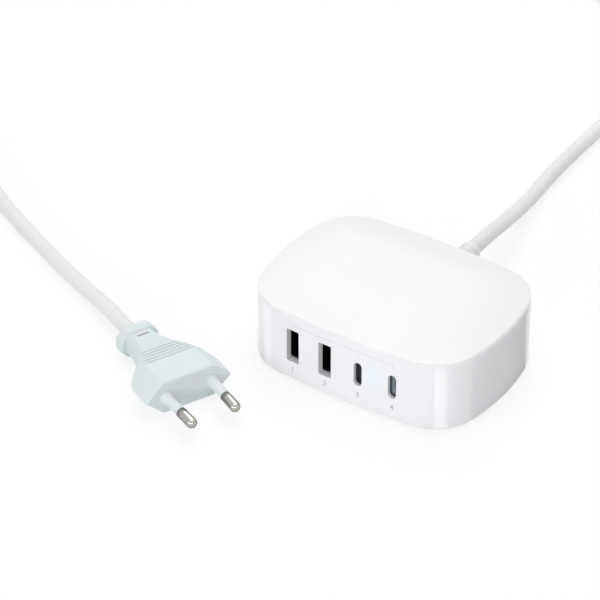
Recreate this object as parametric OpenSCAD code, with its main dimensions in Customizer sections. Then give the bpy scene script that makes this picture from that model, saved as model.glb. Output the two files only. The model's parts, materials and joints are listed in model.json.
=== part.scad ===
// Desktop multi-port USB charger with a fixed two-pin mains lead.
// Millimetres, +Z up. The origin is on the surface that the feet stand on, under the middle of
// the body. The ports face -Y and the mains lead leaves the back at +Y.

/* [Body] */
// Width of the body across the ports
body_w = 94; // [88:1:104]
// Depth of the body from front to back
body_d = 68.6; // [66:0.2:76]
// Height of the top edge of the side wall above the base of the housing
wall_h = 28.1; // [26:0.1:34]
// Radius of the bowed front and back walls
front_r = 358; // [250:1:500]
// Radius of the bowed side walls
side_r = 86.4; // [75:0.2:110]
// Radius of the four upright corners
corner_r = 18.5; // [15:0.5:22]
// Thickness of the side wall
wall = 2.8; // [2:0.1:3.2]
// Thickness of the housing floor
floor_t = 2.2; // [1.6:0.1:3]

/* [Top cover] */
// Height of the pillow-shaped top above the side wall
dome_h = 4.6; // [2:0.1:7]
// How flat the middle of the top is, larger is flatter
dome_power = 3; // [2:0.5:5]
// Thickness of the top cover
cover_t = 2.2; // [1.6:0.1:3]
// Height of the small step between the wall and the dome
rim_h = 0.5; // [0.3:0.1:1]
// How far the dome stands back from the wall at that step
rim_in = 0.35; // [0.2:0.05:0.8]
// Depth of the skirt that locates the cover inside the wall
skirt_h = 3; // [2:0.5:5]
// Thickness of that skirt
skirt_t = 1.4; // [1:0.1:1.8]

/* [Feet] */
// Diameter of a rubber foot
foot_d = 9; // [7:0.5:11]
// How far a foot stands out below the housing
foot_out = 0.8; // [0.6:0.1:1.5]
// Depth of the pocket that holds a foot
foot_pocket = 0.7; // [0.5:0.1:1]
// Distance of a foot from the middle, left to right
foot_x = 31; // [26:1:34]
// Distance of a foot from the middle, front to back
foot_y = 18.5; // [15:0.5:21]

/* [Ports] */
// Distance between neighbouring ports
port_pitch = 14; // [13:0.5:15]
// How far the row of ports is set to the left of the middle
port_shift = 0.25; // [0:0.05:1]
// Height of the USB-A openings above the base of the housing, at their middle
port_z = 14.6; // [13.8:0.1:15.5]
// How much lower the middle of the USB-C openings lies
usb_c_drop = 0.3; // [0:0.1:1]
// Height of a USB-A opening
usb_a_h = 14; // [13.4:0.1:14.6]
// Width of a USB-A opening
usb_a_w = 5.4; // [5.3:0.1:6]
// Height of a USB-C opening
usb_c_h = 10; // [9.4:0.1:10.6]
// Width of a USB-C opening
usb_c_w = 3.3; // [3.2:0.1:3.8]
// How far a tongue lies behind the outer face of the wall
tongue_back = 5.2; // [4.6:0.1:6]

/* [Circuit board] */
// Thickness of the circuit board
board_t = 1.6; // [1:0.1:2]
// Gap between the circuit board and the side wall
board_gap = 1.6; // [1:0.1:3]
// Diameter of a boss that carries the board
boss_d = 6; // [5:0.5:7]
// Diameter of a board screw
screw_d = 2.5; // [2:0.1:3]
// Height of the transformer
transformer_h = 17; // [14:0.5:18]
// Height of the bulk capacitors
bulk_h = 15; // [12:0.5:16]
// Diameter of the bulk capacitors
bulk_d = 12.5; // [10:0.5:13]

/* [Mains lead] */
// Diameter of the round mains lead
cord_d = 5.8; // [5.4:0.1:6]
// Height of the lead's exit above the base of the housing
exit_z = 13.2; // [12:0.1:15]
// How far the strain relief stands out of the back wall
relief_l = 20; // [20:1:24]
// Diameter of the strain relief next to the wall
relief_d = 10; // [9:0.5:12]
// Diameter of the strain relief at its free end
relief_end_d = 7.8; // [7.2:0.1:8.6]
// Diameter of the middle of the lead's coil
coil_d = 68; // [58:0.5:70]

/* [Plug] */
// Width of the plug at its front face
plug_w = 34.6; // [34:0.1:36]
// Height of the plug at its front face
plug_h = 13.5; // [13:0.1:14.2]
// Length of the plug from its front face to the end of its flange
plug_l = 42; // [40:0.5:46]
// Height of the flange at the lead's end
flange_h = 11; // [10:0.2:12]
// Width of the flange at the lead's end
flange_w = 16; // [15:0.5:18]
// Distance between the pins at the front face
pin_pitch = 18.6; // [18:0.1:19]
// Distance between the tips of the pins
tip_pitch = 17.5; // [17:0.1:18.6]
// Diameter of the bare end of a pin
pin_d = 4; // [3.9:0.05:4.1]
// Length of a pin in front of the face
pin_l = 19; // [18.5:0.5:19.5]
// Length of the insulating sleeve on a pin
sleeve_l = 10; // [9:0.5:11]

/* [Hidden] */

// Cutters reach this far past a face
over = 1;
// Clearance between parts that slide together
fit_gap = 0.15;
// Faces on a round surface
round_fn = 64;
// Faces on the long arcs of the body
arc_fn = 360;

base_z = foot_out;
wall_top = base_z + wall_h;
floor_top = base_z + floor_t;

// The outline of the body is four bowed sides joined by tangent corner arcs.
front_c = [0, front_r - body_d / 2];
side_c = [body_w / 2 - side_r, 0];
centre_gap = norm(side_c - front_c);
front_reach = front_r - corner_r;
side_reach = side_r - corner_r;
along = (front_reach * front_reach - side_reach * side_reach + centre_gap * centre_gap)
    / (2 * centre_gap);
across = sqrt(front_reach * front_reach - along * along);
toward = (side_c - front_c) / centre_gap;
corner_c = front_c + toward * along + [-toward[1], toward[0]] * across;
front_angle = atan2(corner_c[1] - front_c[1], corner_c[0]);
side_angle = atan2(corner_c[1], corner_c[0] - side_c[0]);

// Inner face of the front wall at a distance x from the middle
function inner_front(x) = front_c[1] - sqrt(pow(front_r - wall, 2) - x * x);

port_x = [for (i = [0:3]) (i - 1.5) * port_pitch - port_shift];
port_mid = base_z + port_z;
usb_c_mid = port_mid - usb_c_drop;

// USB-A socket, in the upright position: its width lies along Z
shell_a_h = 13.2;
shell_a_w = 5.8;
shell_a_l = 14;
shell_t = 0.3;
lip_h = 14.6;
lip_w = 6.8;
lip_t = 0.5;
tongue_a_h = 11.1;
tongue_a_w = 1.84;
contact_pitch = 2.3;
// USB-C socket, in the upright position
shell_c_h = 8.94;
shell_c_w = 3.16;
shell_c_l = 9.2;
tongue_c_h = 6.7;
tongue_c_w = 0.7;

board_top = port_mid - shell_a_h / 2;
board_z = board_top - board_t;
board_inset = wall + board_gap;
back_row = body_d / 2 - wall - 7.7;
slot_y = -3.6;
slot_w = 1.6;
boss_at = [[-36, -13], [36, -13], [-20, back_row + 1.7], [20, back_row + 1.7]];
screw_head_d = 4.6;
screw_head_h = 1.6;

relief_y = body_d / 2;
relief_z = base_z + exit_z;
relief_neck_d = 8;
relief_flange_d = 11.5;
relief_flange_t = 1.6;
wire_d = 2.2;
wire_gap = 1.6;

// The plug lies flat on the underside of its head, so its pins are level.
plug_at = [-44.16, -65.45];
plug_heading = -25;
plug_z = plug_h / 2;
plug_top_w = 21;
plug_face_l = 11;
flange_l = 5;
neck_w = 12.4;
neck_h = 9.6;
sleeve_d = 3.5;
pin_root = 14;
pin_root_d = 2.8;
sleeve_foot_d = 5;
pin_tip_r = 1.7;
pin_splay = atan((pin_pitch - tip_pitch) / 2 / pin_l);
plug_axis = [cos(plug_heading), sin(plug_heading), 0];
plug_end = [plug_at[0], plug_at[1], plug_z] - plug_l * plug_axis;

// The lead's route in millimetres: it comes out of the strain relief, sinks to the surface,
// and runs round to its coil.
coil_lift = 1;
lead_route = [
    [0, body_d / 2 + relief_l, relief_z], [-0.2, 62, 13.7], [-0.9, 71, 12.4], [-2, 81, 10.3],
    [-3.4, 91, 7.9], [-5, 101, 5.7], [-6.6, 111, 4], [-8, 121, 3.1], [-8.9, 133, 2.9],
    [-9.2, 150, 2.9], [-9.1, 168, 2.9], [-9.6, 186, 2.9], [-12, 204, 2.9], [-17, 221, 2.9],
    [-25.5, 236.5, 2.9], [-38, 248.5, 2.9], [-54, 255.3, 2.9], [-73, 256.6, 2.9],
    [-100, 256.2, 2.9], [-130, 255.4, 3.1], [-160, 254.8, 3.6], [-180, 254.4, 3.9],
    [-196.4, 254.2, 3.9]
];
coil_at = [-217.5, 217.3];
tail_route = [
    [-258, 204.3, 7], [-261.2, 190, 5], [-264.6, 175, 3.5], [-267.8, 160, 2.9],
    [-270.6, 143, 2.9], [-271.9, 127, 2.9], [-271.3, 111, 2.9], [-268, 95.5, 2.9],
    [-261.2, 79.5, 2.9], [-250.4, 62, 2.9], [-237, 45.5, 2.9], [-222, 30.4, 2.9],
    [-206, 16.4, 2.9], [-189.4, 4, 2.9], [-171.8, -6.8, 2.9], [-153.6, -15.8, 2.9],
    [-134.6, -24.5, 2.9], [-117, -32.2, 3.4], [-104, -37.9, 4.7], [-93, -42.8, 6.1],
    plug_end
];
coil_ring_w = 2 * cord_d;
tie_w = 9;
tie_t = 0.8;
tie_gap = 0.1;

// Two-dimensional outlines

// Points of the body's outline, set in by a distance
function arc_points(c, r, from, to, n) =
    [for (i = [0:n - 1]) let (a = from + (to - from) * i / n) c + r * [cos(a), sin(a)]];

function mirror_x(p) = [-p[0], p[1]];
function mirror_y(p) = [p[0], -p[1]];

function outline_points(inset, n) =
    let (f = front_angle, s = side_angle, c = corner_c)
    concat(
        arc_points(front_c, front_r - inset, -180 - f, f, 2 * n),
        arc_points(c, corner_r - inset, f, s, n),
        arc_points(side_c, side_r - inset, s, -s, n),
        arc_points(mirror_y(c), corner_r - inset, -s, -f, n),
        arc_points(mirror_y(front_c), front_r - inset, -f, 180 + f, 2 * n),
        arc_points(-c, corner_r - inset, 180 + f, 180 + s, n),
        arc_points(mirror_x(side_c), side_r - inset, 180 + s, 180 - s, n),
        arc_points(mirror_x(c), corner_r - inset, 180 - s, 180 - f, n)
    );

// What a corner arc takes off the crossing of a front and a side arc. The cut starts a hair
// past the points where the arcs meet, so that no two curves only touch.
module corner_waste(inset) {
    hair = 0.6;
    reach = 2 * corner_r;
    u = reach * [cos(front_angle + hair), sin(front_angle + hair)];
    v = reach * [cos(side_angle - hair), sin(side_angle - hair)];
    difference() {
        polygon([corner_c, corner_c + u, corner_c + u + v, corner_c + v]);
        translate(corner_c) circle(r = corner_r - inset, $fn = arc_fn);
    }
}

module outline(inset) {
    difference() {
        intersection() {
            translate(front_c) circle(r = front_r - inset, $fn = arc_fn);
            translate(-front_c) circle(r = front_r - inset, $fn = arc_fn);
            translate(side_c) circle(r = side_r - inset, $fn = arc_fn);
            translate(-side_c) circle(r = side_r - inset, $fn = arc_fn);
        }
        for (j = [0, 1], k = [0, 1]) mirror([j, 0]) mirror([0, k]) corner_waste(inset);
    }
}

// A rectangle with rounded corners, as points
function rounded_points(w, h, r, n = 6) = [
    for (q = [0:3], i = [0:n])
        let (a = 90 * q + 90 * i / n, sx = (q == 0 || q == 3) ? 1 : -1, sy = q < 2 ? 1 : -1)
        [sx * (w / 2 - r) + r * cos(a), sy * (h / 2 - r) + r * sin(a)]
];

// A prism along -Y with a rounded section, its back face at y
module port_prism(x, y, z, w, h, l, r) {
    translate([x, y, z]) rotate([90, 0, 0]) linear_extrude(l) polygon(rounded_points(w, h, r));
}

// Cabinet

// The cover is a loop of rings: each ring is the outline, set in, scaled and raised.
function dome_z(s) = wall_top + rim_h + dome_h * (1 - pow(s, dome_power));

module ring_solid(rings, n) {
    count = 10 * n;
    k = len(rings);
    points = [for (g = rings, p = outline_points(g[0], n)) [p[0] * g[1], p[1] * g[1], g[2]]];
    // Quads between one ring and the next, and a fan that closes each end of the loop
    sides = [for (i = [0:k - 2], j = [0:count - 1])
        let (a = i * count + j, b = i * count + (j + 1) % count)
        [a, b, b + count, a + count]];
    first = [for (j = [0:count - 1]) count - 1 - j];
    last = [for (j = [0:count - 1]) (k - 1) * count + j];
    polyhedron(points = points, faces = concat(sides, [first], [last]), convexity = 4);
}

module top_cover() {
    skirt_out = wall + fit_gap;
    skirt_in = skirt_out + skirt_t;
    dome_steps = [1, 0.96, 0.91, 0.84, 0.74, 0.61, 0.45, 0.27, 0.1];
    under_steps = [0.1, 0.35, 0.6, 0.8];
    rings = concat(
        [for (s = under_steps) [skirt_in, s, dome_z(s) - cover_t]],
        [[skirt_in, 1, wall_top - cover_t / 2], [skirt_in, 1, wall_top - skirt_h]],
        [[skirt_out, 1, wall_top - skirt_h], [skirt_out, 1, wall_top], [0.05, 1, wall_top]],
        [for (s = dome_steps) [rim_in, s, dome_z(s)]]
    );
    color("white") ring_solid(rings, 6);
}

module boss(at) {
    translate([at[0], at[1], floor_top]) cylinder(d = boss_d, h = board_z - floor_top, $fn = 48);
}

module housing() {
    front = -body_d / 2 - over;
    depth = wall + 5;
    color("white") difference() {
        union() {
            difference() {
                translate([0, 0, base_z]) linear_extrude(wall_h) outline(0);
                translate([0, 0, floor_top]) linear_extrude(wall_h) outline(wall);
            }
            for (at = boss_at) boss(at);
        }
        for (i = [0, 1])
            port_prism(port_x[i], front + depth, port_mid, usb_a_w, usb_a_h, depth, 0.5);
        for (i = [2, 3])
            port_prism(port_x[i], front + depth, usb_c_mid, usb_c_w, usb_c_h, depth, usb_c_w / 2);
        translate([0, relief_y + over, relief_z]) rotate([90, 0, 0])
            cylinder(d = relief_neck_d + 2 * fit_gap, h = depth, $fn = round_fn);
        for (at = boss_at)
            translate([at[0], at[1], floor_top + 0.6])
                cylinder(d = screw_d - 0.2, h = board_z, $fn = 32);
        for (i = [0:3]) foot_place(i) translate([0, 0, base_z - over])
            cylinder(d = foot_d + 2 * fit_gap, h = foot_pocket + over, $fn = round_fn);
    }
}

module foot_place(i) {
    sx = i % 2 == 0 ? -1 : 1;
    sy = i < 2 ? -1 : 1;
    translate([sx * foot_x, sy * foot_y, 0]) children();
}

// A round rubber pad with a chamfered lower edge
module foot(i) {
    r = foot_d / 2;
    edge = 0.4;
    color("gainsboro") foot_place(i) rotate_extrude($fn = round_fn)
        polygon([[0, 0], [r - edge, 0], [r, edge], [r, foot_out + foot_pocket],
            [0, foot_out + foot_pocket]]);
}

// Inside the housing

module floor_sheet() {
    sheet_t = 0.4;
    color("ivory") difference() {
        translate([0, 0, floor_top]) linear_extrude(sheet_t) outline(wall + 1);
        for (at = boss_at)
            translate([at[0], at[1], floor_top - over])
                cylinder(d = boss_d + 1, h = sheet_t + 2 * over, $fn = 48);
    }
}

module circuit_board() {
    color("darkgreen") difference() {
        translate([0, 0, board_z]) linear_extrude(board_t) outline(board_inset);
        for (at = boss_at)
            translate([at[0], at[1], board_z - over])
                cylinder(d = screw_d + 0.4, h = board_t + 2 * over, $fn = 32);
        // Isolation slot between the mains side and the low-voltage side
        translate([-26, slot_y - slot_w / 2, board_z - over])
            cube([18, slot_w, board_t + 2 * over]);
    }
}

module board_screws() {
    shank = board_t + 3;
    color("silver") for (at = boss_at) translate([at[0], at[1], board_top]) {
        cylinder(d = screw_head_d, h = screw_head_h, $fn = 32);
        translate([0, 0, -shank]) cylinder(d = screw_d - 0.2, h = shank, $fn = 32);
    }
}

// Mouth of the socket at one port, just behind the curved wall
function mouth_y(x, w) = inner_front(abs(x) + w / 2) + fit_gap;

module usb_a_shell(i) {
    x = port_x[i];
    y = mouth_y(x, lip_w);
    color("dimgray") difference() {
        union() {
            translate([x - shell_a_w / 2, y, board_top]) cube([shell_a_w, shell_a_l, shell_a_h]);
            translate([x - lip_w / 2, y, port_mid - lip_h / 2 + (lip_h - shell_a_h) / 2])
                cube([lip_w, lip_t, (lip_h + shell_a_h) / 2]);
        }
        translate([x - shell_a_w / 2 + shell_t, y - over, board_top + shell_t])
            cube([shell_a_w - 2 * shell_t, shell_a_l - 1 + over, shell_a_h - 2 * shell_t]);
    }
}

// The moulded block at the back of the socket, with the tongue that carries the contacts
module usb_a_tongue(i) {
    x = port_x[i];
    y = mouth_y(x, lip_w);
    inner_w = shell_a_w - 2 * shell_t;
    inner_h = shell_a_h - 2 * shell_t;
    block_l = 3.5;
    back = y + shell_a_l - 1;
    tongue_y = -body_d / 2 + tongue_back;
    color("black") union() {
        translate([x - inner_w / 2, back - block_l, board_top + shell_t])
            cube([inner_w, block_l, inner_h]);
        translate([x + inner_w / 2 - tongue_a_w - 0.6, tongue_y, port_mid - tongue_a_h / 2])
            cube([tongue_a_w, back - tongue_y - over, tongue_a_h]);
    }
}

module usb_a_contacts(i) {
    x = port_x[i];
    inner_w = shell_a_w - 2 * shell_t;
    face = x + inner_w / 2 - tongue_a_w - 0.6;
    contact = [0.3, 6, 1.1];
    color("gold") for (k = [0:3])
        translate([face - contact[0], -body_d / 2 + tongue_back + 0.8,
            port_mid + (k - 1.5) * contact_pitch - contact[2] / 2])
            cube(contact);
}

module usb_c_shell(i) {
    x = port_x[i];
    y = mouth_y(x, shell_c_w);
    r = shell_c_w / 2;
    color("slategray") difference() {
        port_prism(x, y + shell_c_l, usb_c_mid, shell_c_w, shell_c_h, shell_c_l, r - 0.02);
        port_prism(x, y + shell_c_l - over, usb_c_mid, shell_c_w - 2 * shell_t,
            shell_c_h - 2 * shell_t, shell_c_l, r - shell_t - 0.02);
    }
}

module usb_c_tongue(i) {
    x = port_x[i];
    y = mouth_y(x, shell_c_w);
    tongue_l = shell_c_l - over - 1.2;
    block_l = 2;
    block_w = shell_c_w - 2 * shell_t;
    color("black") {
        translate([x - tongue_c_w / 2, y + 1.2, usb_c_mid - tongue_c_h / 2])
            cube([tongue_c_w, tongue_l, tongue_c_h]);
        port_prism(x, y + shell_c_l - over, usb_c_mid, block_w, shell_c_h - 2 * shell_t, block_l,
            block_w / 2 - 0.02);
    }
}

// The upright plastic holder that stands the small socket on the board
module usb_c_carrier(i) {
    x = port_x[i];
    y = mouth_y(x, shell_c_w) + 1.5;
    carrier = [6.4, shell_c_l - 1.5, usb_c_mid + shell_c_h / 2 + 1.2 - board_top];
    color("darkslategray") difference() {
        translate([x - carrier[0] / 2, y, board_top]) cube(carrier);
        port_prism(x, y + carrier[1] + over, usb_c_mid, shell_c_w + 0.04, shell_c_h + 0.04,
            carrier[1] + 2 * over, shell_c_w / 2);
    }
}

transformer_at = [1, 9];
core = [24, 20, transformer_h];
core_leg = 6;
winding_gap = 0.3;

// A pair of E cores, seen as one block with two windows
module transformer_core() {
    window = [(core[0] - 3 * core_leg) / 2, core[2] - 2 * 4];
    color("dimgray") translate([transformer_at[0], transformer_at[1], board_top + 1])
        difference() {
            translate([-core[0] / 2, -core[1] / 4, 0]) cube([core[0], core[1] / 2, core[2] - 1]);
            for (s = [-1, 1])
                translate([s * (core_leg + window[0]) / 2 - window[0] / 2, -core[1], 3.5])
                    cube([window[0], 2 * core[1], window[1]]);
        }
}

// The bobbin stands on the board, and its winding wraps the middle leg between the windows
module transformer_winding() {
    window_w = (core[0] - 3 * core_leg) / 2;
    window_h = core[2] - 2 * 4;
    w = core_leg + 2 * window_w - 2 * winding_gap;
    z = board_top + 1 + 3.5 + winding_gap;
    h = window_h - 2 * winding_gap;
    foot_h = 1;
    color("goldenrod") translate([transformer_at[0], transformer_at[1], 0]) {
        difference() {
            translate([0, 0, z]) linear_extrude(h) polygon(rounded_points(w, core[1], 2));
            translate([-core_leg / 2 - winding_gap, -core[1] / 4 - winding_gap, z - over])
                cube([core_leg + 2 * winding_gap, core[1] / 2 + 2 * winding_gap, h + 2 * over]);
        }
        for (s = [-1, 1]) translate([-w / 2, s * (core[1] / 2 - 1.8) - 1.6, board_top])
            cube([w, 3.2, z - board_top]);
        translate([-core[0] / 2, -core[1] / 2 + 0.2, board_top])
            cube([core[0], core[1] - 0.4, foot_h]);
    }
}

// A standing electrolytic can with a rolled groove near its base and a scored top
module can(at, d, h) {
    r = d / 2;
    translate([at[0], at[1], board_top]) rotate_extrude($fn = round_fn)
        polygon([[0, 0], [r, 0], [r, 1], [r - 0.5, 1.5], [r, 2], [r, h - 0.5], [r - 0.5, h],
            [r - 1.2, h], [r - 1.2, h - 0.3], [0, h - 0.3]]);
}

module bulk_capacitor(i) {
    color("black") can([-30.5, back_row - 20.4 + 13.4 * i], bulk_d, bulk_h);
}

module output_capacitor(i) {
    behind_front = 25.3;
    color("royalblue") can([-11 + 8.2 * i, -body_d / 2 + behind_front], 6.3, 11);
}

choke_at = [27, 13.5];
choke_r = 4.6;
choke_section = 2.6;

module choke_core() {
    color("darkolivegreen") translate([choke_at[0], choke_at[1], board_top + 1.2])
        rotate_extrude($fn = round_fn) translate([choke_r, 0]) translate([-choke_section / 2, 0])
            square([choke_section, 6]);
}

// Two windings wrap the ring on opposite sides, and rest on the board
module choke_winding() {
    gap = 0.1;
    copper = 1.1;
    inner = choke_r - choke_section / 2;
    outer = choke_r + choke_section / 2;
    color("peru") translate([choke_at[0], choke_at[1], board_top]) for (s = [0, 180])
        rotate([0, 0, s]) difference() {
            rotate([0, 0, -60]) rotate_extrude(angle = 120, $fn = round_fn)
                translate([inner - gap - copper, 0])
                    square([outer - inner + 2 * gap + 2 * copper, 1.2 + 6 + gap + copper]);
            translate([0, 0, 1.2 - gap]) difference() {
                cylinder(r = outer + gap, h = 6 + 2 * gap, $fn = round_fn);
                translate([0, 0, -over])
                    cylinder(r = inner - gap, h = 6 + 2 * gap + 2 * over, $fn = round_fn);
            }
        }
}

module x_capacitor() {
    size = [13, 6, 11];
    color("gold") translate([27, 1.5, board_top]) linear_extrude(size[2])
        polygon(rounded_points(size[0], size[1], 0.6));
}

// A dipped ceramic disc standing on edge, with its two legs
module y_capacitor() {
    d = 7;
    t = 3.2;
    leg = 0.6;
    leg_l = 2;
    color("steelblue") translate([10.5, back_row - 0.6, board_top]) {
        translate([0, t / 2, leg_l + d / 2]) rotate([90, 0, 0]) cylinder(d = d, h = t, $fn = 48);
        for (s = [-1, 1]) translate([s * 2 - leg / 2, -leg / 2, 0])
            cube([leg, leg, leg_l + 1.5]);
    }
}

module fuse() {
    color("saddlebrown") translate([-28.5, -11.5, board_top])
        cylinder(d = 8, h = 7.4, $fn = 48);
}

module bridge_rectifier() {
    size = [12, 4, 10];
    color("black") translate([-18.4, back_row - 10.6, board_top]) rotate([0, 0, 90]) linear_extrude(size[2])
        polygon(rounded_points(size[0], size[1], 0.5));
}

sink_x = 38;
sink_y = -7;
sink_l = 20;
sink_t = 1.5;
sink_h = 15;

// A bent aluminium plate with three short fins
module heat_sink() {
    fin = 1.6;
    color("silver") translate([sink_x, sink_y, board_top]) {
        cube([sink_t, sink_l, sink_h]);
        for (k = [0:2]) translate([sink_t, 2 + k * (sink_l - 5.2) / 2, 0])
            cube([fin, 1.2, sink_h]);
    }
}

module switching_transistor() {
    body = [4.4, 10, 9.2];
    tab = [1.2, 10, 15 - 9.2];
    z = board_top + 0.8;
    y = sink_y + sink_l / 2 - body[1] / 2;
    color("black") {
        translate([sink_x - body[0], y, z]) cube(body);
        for (k = [-1:1]) translate([sink_x - 2.2, y + body[1] / 2 + k * 2.54 - 0.4, board_top])
            cube([0.5, 0.8, z - board_top]);
        translate([sink_x - tab[0], y, z + body[2]]) cube([tab[0], tab[1], tab[2] - 1.6]);
    }
}

// A small surface package with a bevelled top edge
module chip(at, size) {
    bevel = 0.3;
    translate([at[0], at[1], board_top]) {
        linear_extrude(size[2] - bevel) square([size[0], size[1]], center = true);
        translate([0, 0, size[2] - bevel]) linear_extrude(bevel)
            square([size[0] - 2 * bevel, size[1] - 2 * bevel], center = true);
    }
}

module optocoupler() {
    color("whitesmoke") chip([-19, slot_y], [6.4, 4.6, 3.5]);
}

module port_controller(i) {
    x = port_x[2 + i];
    size = [6, 5, 1.5];
    behind_socket = 2;
    y = mouth_y(x, shell_c_w) + shell_c_l + behind_socket + size[1] / 2;
    color("black") chip([x, y], size);
}

module status_led() {
    behind_front = 10.3;
    color("lightblue") chip([(port_x[2] + port_x[3]) / 2, -body_d / 2 + behind_front],
        [3, 1.6, 1.2]);
}

// Sweeps a round section along a route. The section stays upright, so it never twists.
function heading(route, i) =
    let (a = route[max(i - 1, 0)], b = route[min(i + 1, len(route) - 1)], d = b - a)
    d / norm(d);

module tube(route, d, sides, first, last) {
    points = [for (i = [0:len(route) - 1])
        let (t = i == 0 ? first : i == len(route) - 1 ? last : heading(route, i),
            flat = norm([t[0], t[1]]) < 0.05 ? [1, 0, 0] : cross([0, 0, 1], t),
            side = flat / norm(flat), up = cross(t, side))
        for (k = [0:sides - 1])
            route[i] + d / 2 * (side * cos(360 * k / sides) + up * sin(360 * k / sides))];
    rings = len(route);
    faces = concat(
        [[for (k = [sides - 1:-1:0]) k]],
        [for (i = [0:rings - 2], k = [0:sides - 1])
            [i * sides + k, i * sides + (k + 1) % sides, (i + 1) * sides + (k + 1) % sides,
                (i + 1) * sides + k]],
        [[for (k = [0:sides - 1]) (rings - 1) * sides + k]]
    );
    polyhedron(points = points, faces = faces, convexity = 6);
}

// A smooth curve through a route's points, with a few steps between neighbours
function spline(p, steps) =
    let (n = len(p))
    concat([for (i = [0:n - 2], s = [0:steps - 1])
        let (t = s / steps, a = p[max(i - 1, 0)], b = p[i], c = p[i + 1], d = p[min(i + 2, n - 1)])
        on_surface(0.5 * (2 * b + (c - a) * t + (2 * a - 5 * b + 4 * c - d) * t * t
            + (3 * b - a - 3 * c + d) * t * t * t))], [p[n - 1]]);

// The lead lies on the surface, and never sinks into it
function on_surface(p) = [p[0], p[1], max(p[2], cord_d / 2)];

// Each wire leaves the strain relief's inner face and bends down to the board
module mains_wire(side) {
    bend_r = 2.4;
    run = 1;
    start_y = body_d / 2 - wall - relief_flange_t;
    down_y = start_y - run - bend_r;
    translate([side * wire_gap, 0, 0]) {
        translate([0, start_y, relief_z]) rotate([90, 0, 0])
            cylinder(d = wire_d, h = run, $fn = 32);
        translate([0, start_y - run, relief_z - bend_r]) rotate([90, 0, 0]) rotate([0, -90, 0])
            rotate_extrude(angle = 90, $fn = 96) translate([bend_r, 0])
                circle(d = wire_d, $fn = 32);
        translate([0, down_y, board_top])
            cylinder(d = wire_d, h = relief_z - bend_r - board_top, $fn = 32);
    }
}

module live_wire() {
    color("saddlebrown") mains_wire(1);
}

module neutral_wire() {
    color("royalblue") mains_wire(-1);
}

// Mains lead

// The relief is moulded round the lead: an inner flange, a neck in the wall, an outer flange
// and a ribbed taper that ends in a rounded collar.
module strain_relief() {
    inner = -wall - relief_flange_t;
    flange_r = relief_flange_d / 2;
    neck_r = relief_neck_d / 2;
    seat = 0.6;
    end_r = relief_end_d / 2;
    base_r = relief_d / 2;
    collar = 3;
    outline_side = [
        [0, inner], [flange_r, inner], [flange_r, -wall - 0.05], [neck_r, -wall - 0.05],
        [neck_r, 0.05], [flange_r, 0.05], [flange_r, seat + 1], [flange_r - 0.5, seat + 1.5],
        [base_r, seat + 1.5], [end_r - 0.4, relief_l - collar], [end_r, relief_l - collar + 0.4],
        [end_r, relief_l - 0.6], [end_r - 0.6, relief_l], [0, relief_l]
    ];
    color("white") translate([0, relief_y, relief_z]) rotate([-90, 0, 0])
        rotate_extrude($fn = round_fn) polygon(outline_side);
}

lead_start = [0, 1, 0];
lead_end = [-1, -0.01, 0];
tail_start = [-0.208, -0.963, -0.13];

module cord_lead() {
    color("white") tube(spline(lead_route, 2), cord_d, 8, lead_start, lead_end / norm(lead_end));
}

module cord_tail() {
    color("white") tube(spline(tail_route, 2), cord_d, 8, tail_start / norm(tail_start), plug_axis);
}

// The wound part of the lead, as one ring of its outer shape
module cord_coil() {
    r = coil_d / 2;
    color("white") translate([coil_at[0], coil_at[1], coil_lift]) rotate_extrude($fn = round_fn)
        translate([r, coil_ring_w / 2]) polygon(rounded_points(coil_ring_w, coil_ring_w, cord_d / 2));
}

// A flat band round one side of the coil
module cord_tie() {
    inside = coil_ring_w + 2 * tie_gap;
    outside = inside + 2 * tie_t;
    middle = coil_lift + coil_ring_w / 2;
    color("lightgray") translate([coil_at[0], coil_at[1] - coil_d / 2, middle]) rotate([0, 90, 0])
        linear_extrude(tie_w, center = true) difference() {
            polygon(rounded_points(outside, outside + 1.6, cord_d / 2));
            polygon(rounded_points(inside, inside + 1.6, cord_d / 2 - 0.4));
        }
}

// Plug, in its own frame: +X is the way the pins point, and the front face is at x = 0

module plug_place() {
    translate([plug_at[0], plug_at[1], plug_z]) rotate([0, 0, plug_heading]) children();
}

// Plan of the plug's body: a straight head, a shoulder and a hollow waist down to the neck
function plug_plan() =
    let (half = plug_w / 2, neck = neck_w / 2, x0 = -plug_face_l, x1 = -plug_l + flange_l)
    concat(
        [[0, half], [x0 * 0.55, half]],
        [for (i = [0:12]) let (t = i / 12, s = t * t * (3 - 2 * t))
            [x0 * 0.8 + (x1 + 6 - x0 * 0.8) * t, half - 0.25 - (half - 0.25 - neck) * pow(s, 0.8)]],
        [[x1, neck]]
    );

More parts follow.
